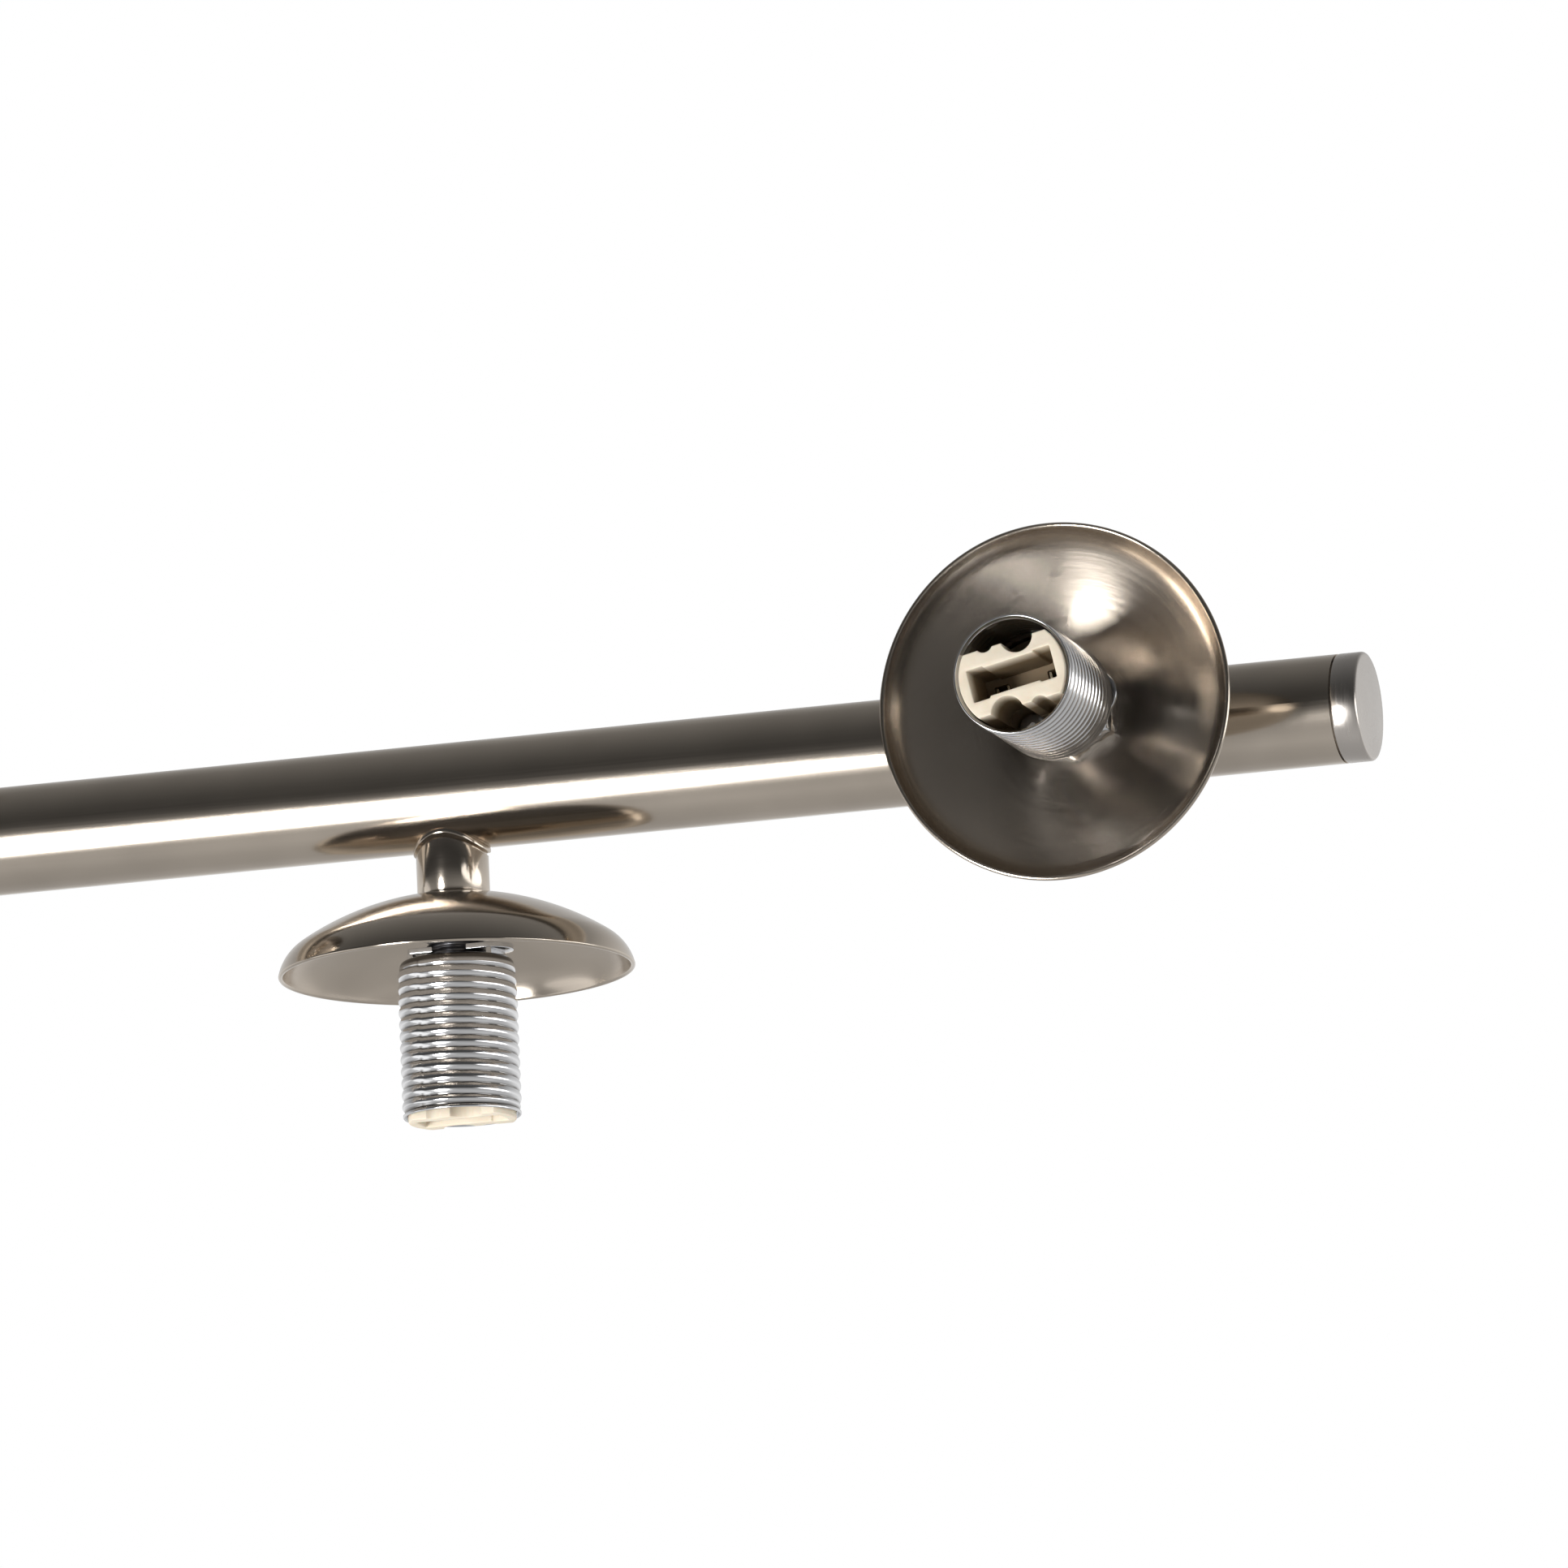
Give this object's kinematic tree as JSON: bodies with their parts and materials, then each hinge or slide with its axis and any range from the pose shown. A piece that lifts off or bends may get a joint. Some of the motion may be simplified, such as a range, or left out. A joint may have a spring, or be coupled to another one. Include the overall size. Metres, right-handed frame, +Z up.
{
  "type": "track lighting fixture",
  "caption": "Ceiling light: a straight satin-nickel bar on a round canopy, with swivelling sections that carry dished lamp heads with chrome screw collars and ceramic lamp holders, no shades.",
  "frame": {"origin": "centre of the ceiling plane, in the middle between the two crossbar slots, where the canopy's rim meets the ceiling", "axes": "+Z up into the ceiling, +X along the bar, -Y to the front, where the outer heads point at rest"},
  "size_m": [0.64, 0.12, 0.1273],
  "materials": {
    "satin_nickel": "warm satin nickel plate, fine lengthwise brushing under lacquer",
    "chrome_plate": "bright zinc-chrome plate on rolled thread",
    "steatite_ceramic": "unglazed cream steatite",
    "contact_metal": "plain spring strip",
    "zinc_steel": "bright zinc-plated steel",
    "dark_steel": "blackened steel",
    "turned_brass": "fine turned",
    "cable_sleeving": "woven glass-fibre sleeving",
    "nylon": "natural nylon",
    "connector_plastic": "moulded",
    "green_screw": "green passivated"
  },
  "bodies": {
    "ceiling": {"canopy": "satin_nickel", "mounting_crossbar": "zinc_steel", "canopy_studs": "zinc_steel", "cap_nuts": "satin_nickel", "ground_screw": "green_screw", "swivel_bush": "nylon"},
    "stem": {"hub": "satin_nickel", "hub_screws": "dark_steel", "stem_tube": "satin_nickel", "threaded_nipple": "zinc_steel", "swivel_nut": "zinc_steel", "stem_cables": "cable_sleeving", "wire_connectors": "connector_plastic"},
    "inner_right": {"inner_tube_right": "satin_nickel", "retaining_screw_right": "dark_steel", "inner_cables_right": "cable_sleeving", "inner_right_post": "satin_nickel", "inner_right_dome": "satin_nickel", "inner_right_lock_nut": "zinc_steel", "inner_right_bracket": "zinc_steel", "inner_right_thread_sleeve": "chrome_plate", "inner_right_ceramic": "steatite_ceramic", "inner_right_contacts": "contact_metal", "inner_right_socket_screws": "zinc_steel"},
    "outer_right": {"outer_tube_right": "satin_nickel", "swivel_sleeve_right": "turned_brass", "end_cap_right": "satin_nickel", "outer_cable_right": "cable_sleeving", "outer_right_post": "satin_nickel", "outer_right_dome": "satin_nickel", "outer_right_lock_nut": "zinc_steel", "outer_right_bracket": "zinc_steel", "outer_right_thread_sleeve": "chrome_plate", "outer_right_ceramic": "steatite_ceramic", "outer_right_contacts": "contact_metal", "outer_right_socket_screws": "zinc_steel"},
    "inner_left": {"inner_tube_left": "satin_nickel", "retaining_screw_left": "dark_steel", "inner_cables_left": "cable_sleeving", "inner_left_post": "satin_nickel", "inner_left_dome": "satin_nickel", "inner_left_lock_nut": "zinc_steel", "inner_left_bracket": "zinc_steel", "inner_left_thread_sleeve": "chrome_plate", "inner_left_ceramic": "steatite_ceramic", "inner_left_contacts": "contact_metal", "inner_left_socket_screws": "zinc_steel"},
    "outer_left": {"outer_tube_left": "satin_nickel", "swivel_sleeve_left": "turned_brass", "end_cap_left": "satin_nickel", "outer_cable_left": "cable_sleeving", "outer_left_post": "satin_nickel", "outer_left_dome": "satin_nickel", "outer_left_lock_nut": "zinc_steel", "outer_left_bracket": "zinc_steel", "outer_left_thread_sleeve": "chrome_plate", "outer_left_ceramic": "steatite_ceramic", "outer_left_contacts": "contact_metal", "outer_left_socket_screws": "zinc_steel"}
  },
  "joints": [
    {"name": "stem_swivel", "type": "hinge", "parent": "ceiling", "child": "stem", "pos_m": [0, 0, -0.0265], "axis": [0, 0, 1], "range_deg": [-170, 170]},
    {"name": "inner_right_swivel", "type": "hinge", "parent": "stem", "child": "inner_right", "pos_m": [0.013, 0, -0.072], "axis": [1, 0, 0], "range_deg": [-90, 90]},
    {"name": "outer_right_swivel", "type": "hinge", "parent": "inner_right", "child": "outer_right", "pos_m": [0.242, 0, -0.072], "axis": [1, 0, 0], "range_deg": [0, 180]},
    {"name": "inner_left_swivel", "type": "hinge", "parent": "stem", "child": "inner_left", "pos_m": [-0.013, 0, -0.072], "axis": [1, 0, 0], "range_deg": [-90, 90]},
    {"name": "outer_left_swivel", "type": "hinge", "parent": "inner_left", "child": "outer_left", "pos_m": [-0.242, 0, -0.072], "axis": [1, 0, 0], "range_deg": [0, 180]}
  ]
}
